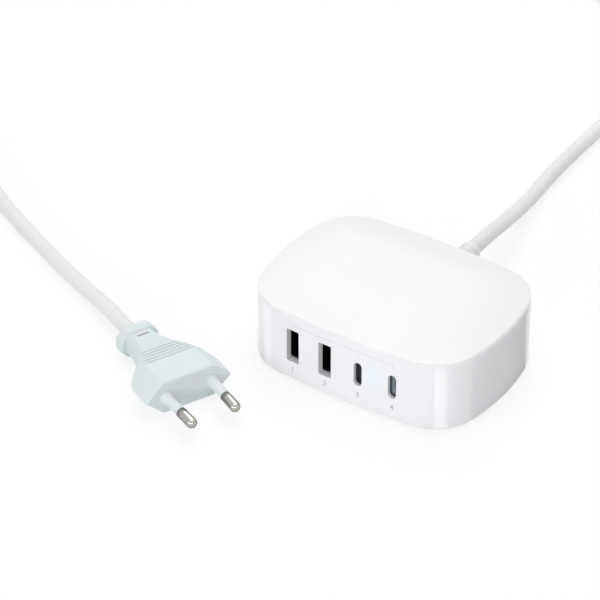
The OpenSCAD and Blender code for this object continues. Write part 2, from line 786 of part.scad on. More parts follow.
module plug_body() {
    plan = plug_plan();
    half_h = plug_h / 2;
    neck_end = -plug_l + flange_l;
    groove_w = 0.9;
    groove_h = 0.5;
    hexagon = [[-plug_w / 2, 0], [-plug_top_w / 2, half_h], [plug_top_w / 2, half_h],
        [plug_w / 2, 0], [plug_top_w / 2, -half_h], [-plug_top_w / 2, -half_h]];
    side = [[0, half_h], [-plug_face_l - 5, half_h], [neck_end, neck_h / 2],
        [neck_end, -neck_h / 2], [-plug_face_l - 5, -half_h], [0, -half_h]];
    color("aliceblue") plug_place() union() {
        difference() {
            intersection() {
                translate([0, 0, -plug_h]) linear_extrude(2 * plug_h)
                    polygon(concat(plan, [for (i = [len(plan) - 1:-1:0]) mirror_y(plan[i])]));
                rotate([90, 0, 90]) translate([0, 0, -plug_l]) linear_extrude(plug_l)
                    polygon(hexagon);
                rotate([90, 0, 0]) linear_extrude(2 * plug_w, center = true) polygon(side);
            }
            // Grip grooves across the top and the bottom
            for (k = [0:4], s = [-1, 1]) {
                x = -plug_face_l - 5.5 - 2.1 * k;
                top = half_h + (x + plug_face_l + 5) * (plug_h - neck_h) / 2
                    / (plug_l - flange_l - plug_face_l - 5);
                translate([x - groove_w, -plug_w / 2, s * top - groove_h])
                    cube([groove_w, plug_w, 2 * groove_h]);
            }
            // Slot over the lead's grip
            for (s = [-1, 1]) translate([neck_end + 1.6, -2.6, s * neck_h / 2 - 1.4])
                cube([1.1, 5.2, 2.8]);
            for (s = [-1, 1]) pin_place(s) translate([-pin_root, 0, 0]) rotate([0, 90, 0])
                cylinder(d = pin_root_d, h = pin_root + over, $fn = 48);
        }
        plug_flange();
    }
}

// The rounded flange at the lead's end
module plug_flange() {
    soft = 1.2;
    translate([-plug_l, 0, 0]) rotate([90, 0, 90]) hull() {
        linear_extrude(flange_l - soft)
            polygon(rounded_points(flange_w - 2 * soft, flange_h - 2 * soft, 3, 4));
        translate([0, 0, soft]) linear_extrude(flange_l - 2 * soft)
            polygon(rounded_points(flange_w, flange_h, 4, 4));
        linear_extrude(flange_l)
            polygon(rounded_points(flange_w - 2 * soft, flange_h - 2 * soft, 3, 4));
    }
}

module pin_place(s) {
    translate([0, s * pin_pitch / 2, 0]) rotate([0, 0, -s * pin_splay]) children();
}

// A pin is a stepped bar: thin under its sleeve and full size at its bare end
module plug_pin(s) {
    r = pin_d / 2;
    root = pin_root_d / 2;
    thin = sleeve_d / 2 - 0.4;
    flat = r - pin_tip_r;
    color("silver") plug_place() pin_place(s) rotate([0, 90, 0]) rotate_extrude($fn = round_fn)
        polygon(concat(
            [[0, -pin_root], [root, -pin_root], [root, 0], [thin, 0], [thin, sleeve_l],
                [r, sleeve_l]],
            [for (i = [0:6]) let (a = 15 * i)
                [flat + pin_tip_r * cos(a), pin_l - pin_tip_r + pin_tip_r * sin(a)]],
            [[0, pin_l]]
        ));
}

module pin_sleeve(s) {
    thin = sleeve_d / 2 - 0.4;
    color("aliceblue") plug_place() pin_place(s) rotate([0, 90, 0]) rotate_extrude($fn = round_fn)
        polygon([[thin, 0.1], [sleeve_foot_d / 2, 0.1], [sleeve_foot_d / 2 - 0.3, 1.6],
            [sleeve_d / 2, 4], [sleeve_d / 2, sleeve_l], [thin, sleeve_l]]);
}

top_cover();
housing();
for (i = [0:3]) foot(i);
floor_sheet();
circuit_board();
board_screws();
for (i = [0, 1]) usb_a_shell(i);
for (i = [0, 1]) usb_a_tongue(i);
for (i = [0, 1]) usb_a_contacts(i);
for (i = [0, 1]) usb_c_shell(2 + i);
for (i = [0, 1]) usb_c_tongue(2 + i);
for (i = [0, 1]) usb_c_carrier(2 + i);
transformer_core();
transformer_winding();
for (i = [0, 1]) bulk_capacitor(i);
for (i = [0:2]) output_capacitor(i);
choke_core();
choke_winding();
x_capacitor();
y_capacitor();
fuse();
bridge_rectifier();
heat_sink();
switching_transistor();
optocoupler();
for (i = [0, 1]) port_controller(i);
status_led();
live_wire();
neutral_wire();
strain_relief();
cord_lead();
cord_coil();
cord_tail();
cord_tie();
plug_body();
for (i = [0, 1]) pin_sleeve(2 * i - 1);
for (i = [0, 1]) plug_pin(2 * i - 1);
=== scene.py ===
"""The charger's looks: camera, mains lead, case, sockets, plug, materials and light."""

import json
import math

import bmesh
import bpy
from mathutils import Matrix, Vector


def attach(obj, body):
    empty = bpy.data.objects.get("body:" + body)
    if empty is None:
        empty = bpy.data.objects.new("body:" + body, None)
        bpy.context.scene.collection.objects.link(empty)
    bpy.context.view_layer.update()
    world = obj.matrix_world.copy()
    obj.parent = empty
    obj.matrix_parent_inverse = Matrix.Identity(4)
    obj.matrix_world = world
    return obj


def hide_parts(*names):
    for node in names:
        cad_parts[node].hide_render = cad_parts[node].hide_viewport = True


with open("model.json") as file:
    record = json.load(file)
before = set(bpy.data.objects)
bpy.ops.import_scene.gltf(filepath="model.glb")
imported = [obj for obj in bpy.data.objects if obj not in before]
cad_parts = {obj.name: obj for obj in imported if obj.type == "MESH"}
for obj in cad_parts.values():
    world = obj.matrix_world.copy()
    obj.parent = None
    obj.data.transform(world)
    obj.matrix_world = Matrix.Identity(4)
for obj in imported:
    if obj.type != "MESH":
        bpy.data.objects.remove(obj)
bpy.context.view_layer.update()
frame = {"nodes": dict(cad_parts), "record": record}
nodes = frame["nodes"]
scene = bpy.context.scene
MM = 0.001

# Camera: the photograph's frame is 600 by 600
AZIMUTH = math.radians(33.74)
ELEVATION = math.radians(36.33)
DISTANCE = 1.261
TARGET = Vector((-0.040565, 0.0, 0.0074445))
SENSOR = 36.0
FOCAL_PIXELS = 3436.09
FRAME_PIXELS = 600

# The body, in millimetres, as in the part's source
BODY_W = 94.0
BODY_D = 68.6
WALL_H = 28.1
FRONT_R = 358.0
SIDE_R = 86.4
CORNER_R = 18.5
WALL = 2.8
FLOOR_T = 2.2
BASE_Z = 0.8
WALL_TOP = BASE_Z + WALL_H
RIM_H = 0.5
RIM_IN = 0.35
DOME_H = 4.6

# The ports
PORT_X = (-21.25, -7.25, 6.75, 20.75)
PORT_MID = 15.4
USB_C_MID = 15.1
USB_A = (5.4, 14.0)
USB_C = (3.3, 10.0)
# How far a USB-C liner starts behind the wall's face
LINER_BACK = 1.3
# A slot's ends are a little less than full rounds, so that no two of its points meet
SLOT_SHORT = 0.01

# The mains lead
CORD_D = 5.8
RELIEF_L = 20.0
RELIEF_Z = 14.0
COIL_AT = (-217.5, 217.3)
COIL_D = 68.0
COIL_LIFT = 1.0

# The plug
PLUG_AT = (-44.16, -65.45)
PLUG_HEADING = math.radians(-25.0)
PLUG_W = 34.6
PLUG_H = 13.5
PLUG_L = 42.0
# The soft back of the plug is a little shorter, lower and to one side, as in the photograph
SHELL_L = 39.2
TAIL_SWAY = -0.7
TAIL_SAG = -0.85


def smoothstep(t):
    t = min(1.0, max(0.0, t))
    return t * t * (3 - 2 * t)


def add_object(name, data):
    obj = bpy.data.objects.new(name, data)
    scene.collection.objects.link(obj)
    return obj


def add_camera():
    """The photograph's camera, which looks down on the charger from its right front."""
    data = bpy.data.cameras.new("camera")
    camera = add_object("camera", data)
    back = Vector((
        math.sin(AZIMUTH) * math.cos(ELEVATION),
        -math.cos(AZIMUTH) * math.cos(ELEVATION),
        math.sin(ELEVATION),
    ))
    camera.location = TARGET + back * DISTANCE
    camera.rotation_mode = "QUATERNION"
    camera.rotation_quaternion = back.to_track_quat("Z", "Y")
    data.sensor_width = SENSOR
    data.lens = FOCAL_PIXELS * SENSOR / FRAME_PIXELS
    data.clip_start = 0.05
    data.clip_end = 20.0
    scene.camera = camera


def link(name, data, material):
    """Adds a piece of the object itself, with its material, under the root body."""
    obj = add_object(name, data)
    data.materials.append(material)
    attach(obj, "root")
    return obj


# The lead's route: out of the strain relief, down to the surface, round the coil, and back to
# the plug. Its points are those of the part's source.
LEAD = [
    (0, 54.3, 14), (-0.2, 62, 13.7), (-0.9, 71, 12.4), (-2, 81, 10.3), (-3.4, 91, 7.9),
    (-5, 101, 5.7), (-6.6, 111, 4), (-8, 121, 3.1), (-8.9, 133, 2.9), (-9.2, 150, 2.9),
    (-9.1, 168, 2.9), (-9.6, 186, 2.9), (-12, 204, 2.9), (-17, 221, 2.9), (-25.5, 236.5, 2.9),
    (-38, 248.5, 2.9), (-54, 255.3, 2.9), (-73, 256.6, 2.9), (-100, 256.2, 2.9),
    (-130, 255.4, 3.1), (-160, 254.8, 3.6), (-180, 254.4, 3.9), (-196.4, 254.2, 3.9),
]
TAIL = [
    (-258, 204.3, 7), (-261.2, 190, 5), (-264.6, 175, 3.5), (-267.8, 160, 2.9),
    (-270.6, 143, 2.9), (-271.9, 127, 2.9), (-271.3, 111, 2.9), (-268, 95.5, 2.9),
    (-261.2, 79.5, 2.9), (-250.4, 62, 2.9), (-237, 45.5, 2.9), (-222, 30.4, 2.9),
    (-206, 16.4, 2.9), (-189.4, 4, 2.9), (-171.8, -6.8, 2.9), (-153.6, -15.8, 2.9),
    (-134.6, -24.5, 2.9), (-117, -32.2, 3.4), (-104, -37.9, 4.7), (-93, -42.8, 6.1),
    (-82.22, -47.7, 6.75),
]
# Turn of the coil in degrees, then whether it is the outer one, then whether it is the upper one
COIL_PLAN = [
    (90, 1, 0), (380, 1, 0), (440, 0, 0), (720, 0, 0), (780, 0, 1), (1050, 0, 1),
    (1110, 1, 1), (1248, 1, 1),
]
COIL_STEP = 18


def coil_points():
    """The turns of the coil, which climb from the outer lower one to the outer upper one."""
    points = []
    first = COIL_PLAN[0][0]
    last = COIL_PLAN[-1][0]
    count = round((last - first) / COIL_STEP)
    for i in range(count + 1):
        turn = first + (last - first) * i / count
        for a, b in zip(COIL_PLAN, COIL_PLAN[1:]):
            if a[0] <= turn <= b[0]:
                t = smoothstep((turn - a[0]) / (b[0] - a[0]))
                outer = a[1] + (b[1] - a[1]) * t
                upper = a[2] + (b[2] - a[2]) * t
        r = COIL_D / 2 + (outer - 0.5) * CORD_D
        z = COIL_LIFT + CORD_D / 2 + upper * CORD_D
        angle = math.radians(turn)
        points.append((COIL_AT[0] + r * math.cos(angle), COIL_AT[1] + r * math.sin(angle), z))
    return points


def spline(points, steps):
    """A smooth curve through the points that never sinks into the surface."""
    result = []
    p = [Vector(q) for q in points]
    for i in range(len(p) - 1):
        a = p[max(i - 1, 0)]
        b = p[i]
        c = p[i + 1]
        d = p[min(i + 2, len(p) - 1)]
        for s in range(steps):
            t = s / steps
            q = 0.5 * (
                2 * b + (c - a) * t + (2 * a - 5 * b + 4 * c - d) * t * t
                + (3 * b - a - 3 * c + d) * t * t * t
            )
            q.z = max(q.z, CORD_D / 2)
            result.append(q)
    result.append(p[-1])
    return result


def make_cord(material):
    """The lead runs a little way into the relief and into the plug, whose sway it follows."""
    plug_axis = Vector((math.cos(PLUG_HEADING), math.sin(PLUG_HEADING), 0))
    plug_side = Vector((-math.sin(PLUG_HEADING), math.cos(PLUG_HEADING), 0))
    route = spline(LEAD + coil_points() + TAIL, 3)
    grip = 0.8
    route.append(Vector(TAIL[-1]) + plug_axis * (PLUG_L - SHELL_L + grip))
    eased_over = 26.0
    for q in route:
        near = 1 - min(1.0, (q - Vector(TAIL[-1])).length / eased_over)
        ease = smoothstep(near)
        q += plug_side * TAIL_SWAY * ease + Vector((0, 0, TAIL_SAG * ease))
    data = bpy.data.curves.new("mains_lead", "CURVE")
    data.dimensions = "3D"
    data.bevel_depth = CORD_D / 2 * MM
    data.bevel_resolution = 6
    data.use_fill_caps = True
    line = data.splines.new("POLY")
    line.points.add(len(route) - 1)
    for point, q in zip(line.points, route):
        point.co = (q.x * MM, q.y * MM, q.z * MM, 1)
    line.use_smooth = True
    obj = link("mains_lead", data, material)
    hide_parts("cord_lead", "cord_coil", "cord_tail")
    return obj


# Materials


class Nodes:
    """A short way to write a material's nodes."""

    def __init__(self, name):
        self.material = bpy.data.materials.new(name)
        self.material.use_nodes = True
        self.tree = self.material.node_tree
        self.shader = self.tree.nodes["Principled BSDF"]
        self.where = self.tree.nodes.new("ShaderNodeTexCoord").outputs["Object"]

    def set(self, **values):
        """Plain numbers on the shader's own sockets."""
        for key, value in values.items():
            socket = key.replace("_", " ").title().replace("Ior", "IOR")
            self.shader.inputs[socket].default_value = value

    def add(self, kind, inputs=None, **settings):
        node = self.tree.nodes.new(kind)
        for key, value in settings.items():
            setattr(node, key, value)
        for key, value in (inputs or {}).items():
            if isinstance(value, bpy.types.NodeSocket):
                self.tree.links.new(value, node.inputs[key])
            else:
                node.inputs[key].default_value = value
        return node

    def paint_over(self, factor, colour):
        """Lays a colour over what the shader's base colour already shows."""
        before = self.shader.inputs["Base Color"].links[0].from_socket
        self.join(self.mix(factor, before, colour), "Base Color")

    def join(self, socket, name):
        self.tree.links.new(socket, self.shader.inputs[name])

    def noise(self, scale, detail=3.0, roughness=0.55, stretch=None):
        where = self.where
        if stretch is not None:
            where = self.add("ShaderNodeMapping", {"Vector": where, "Scale": stretch}).outputs[0]
        inputs = {"Vector": where, "Scale": scale, "Detail": detail, "Roughness": roughness}
        return self.add("ShaderNodeTexNoise", inputs).outputs["Fac"]

    def ramp(self, socket, low, high, to_low=0.0, to_high=1.0):
        inputs = {"Value": socket, "From Min": low, "From Max": high, "To Min": to_low,
                  "To Max": to_high}
        return self.add("ShaderNodeMapRange", inputs, clamp=True).outputs["Result"]

    def mix(self, factor, first, second):
        node = self.add("ShaderNodeMix", data_type="RGBA")
        for index, value in ((0, factor), (6, first), (7, second)):
            if isinstance(value, bpy.types.NodeSocket):
                self.tree.links.new(value, node.inputs[index])
            else:
                node.inputs[index].default_value = value
        return node.outputs[2]

    def maths(self, operation, first, second):
        return self.add("ShaderNodeMath", {0: first, 1: second}, operation=operation).outputs[0]

    def bump(self, height, distance, strength=1.0, normal=None):
        inputs = {"Height": height, "Distance": distance, "Strength": strength}
        if normal is not None:
            inputs["Normal"] = normal
        return self.add("ShaderNodeBump", inputs).outputs["Normal"]


def rgba(colour):
    return (colour[0], colour[1], colour[2], 1.0)


def shade(colour, factor):
    return rgba([c * factor for c in colour])


def moulded(name, colour, roughness, grain=2600.0, depth=0.000012, coat=0.0):
    """Moulded plastic: a fine spark-eroded grain, faint flow marks and handling smudges."""
    m = Nodes(name)
    flow = m.noise(38.0, 2.0)
    m.join(m.mix(m.ramp(flow, 0.35, 0.7), shade(colour, 0.985), rgba(colour)), "Base Color")
    smudge = m.noise(90.0, 4.0)
    m.join(m.ramp(smudge, 0.3, 0.75, roughness * 0.88, roughness * 1.12), "Roughness")
    m.join(m.bump(m.noise(grain, 2.0), depth, 0.6), "Normal")
    m.set(coat_weight=coat, coat_roughness=0.05, ior=1.5)
    return m


def metal(name, colour, roughness, brush=(1.0, 1.0, 1.0), scale=900.0):
    """Metal with fine drawing marks along one axis."""
    m = Nodes(name)
    lines = m.noise(scale, 3.0, 0.6, brush)
    m.join(m.mix(lines, shade(colour, 0.9), shade(colour, 1.06)), "Base Color")
    m.join(m.ramp(lines, 0.3, 0.7, roughness * 0.75, roughness * 1.3), "Roughness")
    m.join(m.bump(lines, 0.000006, 0.5), "Normal")
    m.set(metallic=1.0)
    return m


def pin_material():
    """Bright nickel, with a painted dark reflection where it turns away, as a small polished pin
    shows.
    """
    nickel = (0.44, 0.43, 0.4)
    painted_dark_reflection = (0.09, 0.09, 0.085, 1)
    m = metal("pin_nickel_plate", nickel, 0.13, scale=500.0)
    # Painted reflection: the base colour goes near black towards the edges that turn away.
    layer = m.add("ShaderNodeLayerWeight", {"Blend": 0.5})
    m.paint_over(m.ramp(layer.outputs["Facing"], 0.3, 0.8), painted_dark_reflection)
    return m.material


def soft_pvc(name, colour, roughness):
    """Soft PVC: waxy, with slow dimples and a faint die line grain."""
    m = Nodes(name)
    slow = m.noise(60.0, 2.0)
    m.join(m.mix(slow, shade(colour, 0.965), rgba(colour)), "Base Color")
    m.join(m.ramp(m.noise(260.0, 3.0), 0.3, 0.7, roughness * 0.85, roughness * 1.15), "Roughness")
    first = m.bump(m.noise(420.0, 2.0), 0.00002, 0.5)
    m.join(m.bump(m.noise(2400.0, 2.0), 0.000008, 0.5, first), "Normal")
    m.set(subsurface_weight=0.12, subsurface_scale=0.0015, subsurface_radius=(1.0, 0.97, 0.95))
    return m


# The whites of the case, its cover, the plug, the lead and the strain relief
WHITE = (0.895, 0.888, 0.918)
COVER_WHITE = (0.915, 0.925, 0.92)
PLUG_TINT = (0.74, 0.81, 0.822)
CORD_WHITE = (0.85, 0.855, 0.855)
RELIEF_WHITE = (0.93, 0.935, 0.95)


def case_material():
    """Polished white wall, with a painted soft blue glow, as of a status light behind it."""
    m = moulded("case_gloss_white", WHITE, 0.16, grain=1500.0, depth=0.000004, coat=0.25)
    # Painted light: a blue tint laid into the base colour round one point, standing in for a glow;
    # no lamp lights it.
    glow_at = ((PORT_X[2] + PORT_X[3]) / 2 * MM, -BODY_D / 2 * MM, (PORT_MID + 1.2) * MM)
    glow_reach = 0.0088
    painted_glow_colour = (0.85, 0.925, 0.965, 1.0)
    away = m.add("ShaderNodeVectorMath", {0: m.where, 1: glow_at}, operation="DISTANCE")
    painted_glow = m.ramp(away.outputs["Value"], 0.0, glow_reach, 1.0, 0.0)
    painted_glow.node.interpolation_type = "SMOOTHSTEP"
    m.paint_over(painted_glow, painted_glow_colour)
    return m.material


def cover_material():
    """Satin white, softer than the wall."""
    m = moulded("cover_satin_white", COVER_WHITE, 0.42, grain=3200.0, depth=0.00001)
    return m.material


def can_material(name, colour):
    """Printed film shrunk over a can, a little wrinkled."""
    m = Nodes(name)
    wrinkle = m.noise(700.0, 3.0, 0.5, (1.0, 1.0, 0.25))
    m.join(m.mix(wrinkle, shade(colour, 0.8), shade(colour, 1.15)), "Base Color")
    m.join(m.ramp(wrinkle, 0.2, 0.8, 0.2, 0.38), "Roughness")
    m.join(m.bump(wrinkle, 0.00003, 0.5), "Normal")
    return m.material


def board_material():
    """Green solder mask with faint tracks under it and a glass-cloth grain."""
    m = Nodes("board_green")
    colour = (0.02, 0.115, 0.055)
    cells = m.add("ShaderNodeTexVoronoi", {"Vector": m.where, "Scale": 260.0},
                  distance="MANHATTAN", feature="DISTANCE_TO_EDGE").outputs["Distance"]
    track = m.ramp(cells, 0.04, 0.07)
    weave = m.noise(2200.0, 1.0, 0.4, (1.0, 0.2, 1.0))
    base = m.mix(track, shade(colour, 1.9), rgba(colour))
    m.join(m.mix(m.maths("MULTIPLY", weave, 0.35), base, shade(colour, 0.6)), "Base Color")
    m.join(m.ramp(weave, 0.3, 0.7, 0.28, 0.42), "Roughness")
    m.join(m.bump(track, 0.00003, 0.4), "Normal")
    return m.material


def wound_material(name, colour, pitch, roughness, metallic=0.0):
    """Turns of wire or tape: fine bands round the part."""
    m = Nodes(name)
    wave = m.add("ShaderNodeTexWave", {"Vector": m.where, "Scale": pitch, "Distortion": 0.6,
                                       "Detail": 1.0}, bands_direction="Z").outputs["Fac"]
    m.join(m.mix(wave, shade(colour, 0.6), shade(colour, 1.1)), "Base Color")
    m.join(m.bump(wave, 0.00012, 0.7), "Normal")
    m.join(m.ramp(wave, 0.0, 1.0, roughness * 1.3, roughness * 0.8), "Roughness")
    m.set(metallic=metallic)
    return m.material


def fabric_band(name, colour):
    """Woven hook-and-loop tape."""
    m = Nodes(name)
    weave = m.add("ShaderNodeTexChecker", {"Vector": m.where, "Scale": 2600.0}).outputs["Fac"]
    fuzz = m.noise(1800.0, 4.0)
    m.join(m.mix(m.maths("MULTIPLY", weave, 0.4), rgba(colour), shade(colour, 0.75)), "Base Color")
    m.join(m.ramp(fuzz, 0.3, 0.7, 0.75, 0.95), "Roughness")
    m.join(m.bump(fuzz, 0.0001, 0.8), "Normal")
    m.set(sheen_weight=0.4, sheen_roughness=0.5)
    return m.material


def make_materials():
    """One material for each slot in the record."""
    steel_white = (0.6, 0.6, 0.62)
    sink_white = (0.76, 0.77, 0.79)
    steel_grey = (0.34, 0.36, 0.4)
    return {
        "cover_plastic": cover_material(),
        "housing_plastic": case_material(),
        "foot_rubber": soft_pvc("foot_rubber_grey", (0.42, 0.43, 0.44), 0.7).material,
        "sheet": moulded("insulating_sheet", (0.75, 0.72, 0.6), 0.4).material,
        "board": board_material(),
        "screw_steel": metal("screw_zinc", steel_white, 0.3, (1.0, 1.0, 6.0)).material,
        "socket_black": metal("socket_black_nickel", (0.035, 0.035, 0.04), 0.42).material,
        "socket_plastic": moulded("socket_black_plastic", (0.012, 0.012, 0.014), 0.5).material,
        "contact_gold": metal("contact_gold_flash", (0.83, 0.61, 0.24), 0.25).material,
        "socket_steel": metal("socket_drawn_steel", steel_grey, 0.3, (1.0, 8.0, 1.0)).material,
        "ferrite": moulded("ferrite_grey", (0.045, 0.045, 0.05), 0.62, 900.0, 0.00004).material,
        "winding_tape": wound_material("winding_tape_yellow", (0.78, 0.56, 0.06), 140.0, 0.4),
        "copper": wound_material("copper_turns", (0.72, 0.33, 0.14), 420.0, 0.25, 1.0),
        "bulk_can": can_material("bulk_can_black", (0.035, 0.035, 0.04)),
        "output_can": can_material("output_can_blue", (0.05, 0.09, 0.3)),
        "film_yellow": moulded("film_box_yellow", (0.75, 0.55, 0.06), 0.38).material,
        "ceramic_blue": moulded("ceramic_dip_blue", (0.03, 0.14, 0.45), 0.25, 700.0,
                                0.00003).material,
        "fuse_brown": moulded("fuse_can_brown", (0.1, 0.05, 0.03), 0.4).material,
        "chip_black": moulded("epoxy_black", (0.02, 0.02, 0.022), 0.55).material,
        "opto_white": moulded("epoxy_white", (0.8, 0.8, 0.77), 0.5).material,
        "sink_aluminium": metal("sink_aluminium_sheet", sink_white, 0.34, (1.0, 0.1, 1.0)).material,
        "led_lens": moulded("lens_pale_blue", (0.6, 0.8, 0.95), 0.15).material,
        "wire_brown": soft_pvc("wire_brown_pvc", (0.16, 0.06, 0.025), 0.35).material,
        "wire_blue": soft_pvc("wire_blue_pvc", (0.02, 0.09, 0.4), 0.35).material,
        "cord_pvc": soft_pvc("cord_white_pvc", CORD_WHITE, 0.46).material,
        "tie_plastic": fabric_band("tie_grey_weave", (0.62, 0.63, 0.64)),
        "plug_pvc": soft_pvc("plug_pale_pvc", PLUG_TINT, 0.5).material,
        "pin_nickel": pin_material(),
    }


# Meshes


def loft(name, rings, loop=False):
    """Skins closed rings of equal length, in millimetres, into one closed mesh."""
    mesh = bpy.data.meshes.new(name)
    bm = bmesh.new()
    rows = [[bm.verts.new([c * MM for c in p]) for p in ring] for ring in rings]
    count = len(rings[0])
    pairs = list(zip(rows, rows[1:]))
    if loop:
        pairs.append((rows[-1], rows[0]))
    for low, high in pairs:
        for j in range(count):
            k = (j + 1) % count
            bm.faces.new((low[j], low[k], high[k], high[j]))
    if not loop:
        bm.faces.new(list(reversed(rows[0])))
        bm.faces.new(rows[-1])
    bmesh.ops.recalc_face_normals(bm, faces=bm.faces)
    for face in bm.faces:
        face.smooth = True
    bm.to_mesh(mesh)
    bm.free()
    return mesh


def lathe(profile, axis_point, axis, steps):
    """Rings of a profile [(distance along the axis, radius)] round an axis."""
    axis = Vector(axis).normalized()
    side = axis.orthogonal().normalized()
    other = axis.cross(side)
    rings = []
    for along, radius in profile:
        centre = Vector(axis_point) + axis * along
        rings.append([
            centre + radius * (side * math.cos(2 * math.pi * j / steps)
                               + other * math.sin(2 * math.pi * j / steps))
            for j in range(steps)
        ])
    return rings


def rounded_rectangle(w, h, r, steps):
    """Points round a rectangle with rounded corners, centred on the origin."""
    points = []
    for q in range(4):
        sx = 1 if q in (0, 3) else -1
        sy = 1 if q < 2 else -1
        for i in range(steps + 1):
            a = math.radians(90 * q + 90 * i / steps)
            points.append((sx * (w / 2 - r) + r * math.cos(a), sy * (h / 2 - r) + r * math.sin(a)))
    return points


def outline_geometry():
    """Where the centres of the outline's arcs lie, and the angles at which the arcs meet."""
    front_c = Vector((0, FRONT_R - BODY_D / 2))
    side_c = Vector((BODY_W / 2 - SIDE_R, 0))
    gap = (side_c - front_c).length
    a = FRONT_R - CORNER_R
    b = SIDE_R - CORNER_R
    along = (a * a - b * b + gap * gap) / (2 * gap)
    across = math.sqrt(a * a - along * along)
    toward = (side_c - front_c) / gap
    corner = front_c + toward * along + Vector((-toward.y, toward.x)) * across
    front_angle = math.atan2(corner.y - front_c.y, corner.x)
    side_angle = math.atan2(corner.y, corner.x - side_c.x)
    return front_c, side_c, corner, front_angle, side_angle


FRONT_C, SIDE_C, CORNER_C, FRONT_ANGLE, SIDE_ANGLE = outline_geometry()
FRONT_STEPS = 56
CORNER_STEPS = 30
SIDE_STEPS = 40


def arc(centre, radius, start, end, steps):
    return [
        Vector((centre[0] + radius * math.cos(start + (end - start) * i / steps),
                centre[1] + radius * math.sin(start + (end - start) * i / steps)))
        for i in range(steps)
    ]


def outline(inset):
    """The body's outline, set in by a distance: the same points on the same rays each time."""
    half_turn = math.pi
    f = FRONT_ANGLE
    s = SIDE_ANGLE
    cx, cy = CORNER_C
    points = []
    points += arc(FRONT_C, FRONT_R - inset, -half_turn - f, f, FRONT_STEPS)
    points += arc((cx, cy), CORNER_R - inset, f, s, CORNER_STEPS)
    points += arc(SIDE_C, SIDE_R - inset, s, -s, SIDE_STEPS)
    points += arc((cx, -cy), CORNER_R - inset, -s, -f, CORNER_STEPS)
    points += arc(-FRONT_C, FRONT_R - inset, -f, half_turn + f, FRONT_STEPS)
    points += arc((-cx, -cy), CORNER_R - inset, half_turn + f, half_turn + s, CORNER_STEPS)
    points += arc(-SIDE_C, SIDE_R - inset, half_turn + s, half_turn - s, SIDE_STEPS)
    points += arc((-cx, cy), CORNER_R - inset, half_turn - s, half_turn - f, CORNER_STEPS)
    return points


def ring(inset, z, scale=1.0):
    """The outline at a height, for a loft."""
    return [(p.x * scale, p.y * scale, z) for p in outline(inset)]


def front_y(x, inset=0.0):
    """Where the curved front wall stands at x."""
    return FRONT_C.y - math.sqrt((FRONT_R - inset) ** 2 - x * x)


def apply_modifiers(obj):
    """Turns the modified shape into the object's own mesh."""
    graph = bpy.context.evaluated_depsgraph_get()
    mesh = bpy.data.meshes.new_from_object(obj.evaluated_get(graph))
    obj.modifiers.clear()
    old = obj.data
    obj.data = mesh
    mesh.name = old.name
    return mesh


def cut(obj, cutters):
    """Takes the cutters, joined into one mesh, out of the object."""
    tool_mesh = bpy.data.meshes.new("cutter")
    bm = bmesh.new()
    for mesh in cutters:
        bm.from_mesh(mesh)
    bm.to_mesh(tool_mesh)
    bm.free()
    tool = add_object("cutter", tool_mesh)
    change = obj.modifiers.new("cut", "BOOLEAN")
    change.operation = "DIFFERENCE"
    change.solver = "EXACT"
    change.object = tool
    apply_modifiers(obj)
    bpy.data.objects.remove(tool)
    for mesh in cutters:
        bpy.data.meshes.remove(mesh)


def soften(obj, width, limit, segments):
    """Rounds every edge that is sharper than the limit, in degrees."""
    bevel = obj.modifiers.new("bevel", "BEVEL")
    bevel.width = width * MM
    bevel.segments = segments
    bevel.limit_method = "ANGLE"
    bevel.angle_limit = math.radians(limit)
    bevel.harden_normals = True
    bevel.use_clamp_overlap = True
    apply_modifiers(obj)


def port_cutter(x, z, size, radius):
    """What a window takes out of the front wall."""
    w, h = size
    clear = 3
    front = -BODY_D / 2 - clear
    back = front + WALL + 2 * clear
    section = rounded_rectangle(w, h, radius, 8)
    return loft("cutter", [[(x + p[0], y, z + p[1]) for p in section] for y in (front, back)])


# The case


def make_case(material):
    """The wall and floor as one moulding, with the four windows and the lead's hole."""
    bottom_r = 0.7
    top_r = 0.22
    hole_r = 4.15
    hole_reach = 6
    window_r = 0.5
    slot_r = USB_C[0] / 2 - SLOT_SHORT
    softened = 0.28
    levels = 9
    steps = 5
    rings = []
    for i in range(steps + 1):
        a = math.radians(90 * i / steps)
        rings.append(ring(bottom_r * (1 - math.sin(a)), BASE_Z + bottom_r * (1 - math.cos(a))))
    for i in range(1, levels):
        z = BASE_Z + bottom_r + (WALL_TOP - top_r - BASE_Z - bottom_r) * i / levels
        rings.append(ring(0, z))
    for i in range(steps + 1):
        a = math.radians(90 * i / steps)
        rings.append(ring(top_r * (1 - math.cos(a)), WALL_TOP - top_r * (1 - math.sin(a))))
    rings.append(ring(WALL, WALL_TOP))
    rings.append(ring(WALL, BASE_Z + FLOOR_T))
    obj = link("case_wall", loft("case_wall", rings), material)
    cutters = [port_cutter(PORT_X[i], PORT_MID, USB_A, window_r) for i in (0, 1)]
    cutters += [port_cutter(PORT_X[i], USB_C_MID, USB_C, slot_r) for i in (2, 3)]
    hole = lathe([(-hole_reach, hole_r), (hole_reach, hole_r)], (0, BODY_D / 2, RELIEF_Z),
                 (0, 1, 0), 48)
    cutters.append(loft("cutter", hole))
    cut(obj, cutters)
    soften(obj, softened, 50.0, 3)
    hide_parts("housing")


def dome_z(s):
    """The dome's height at a share of the way from its middle to its rim."""
    return WALL_TOP + RIM_H + DOME_H * (1 - s ** 3)


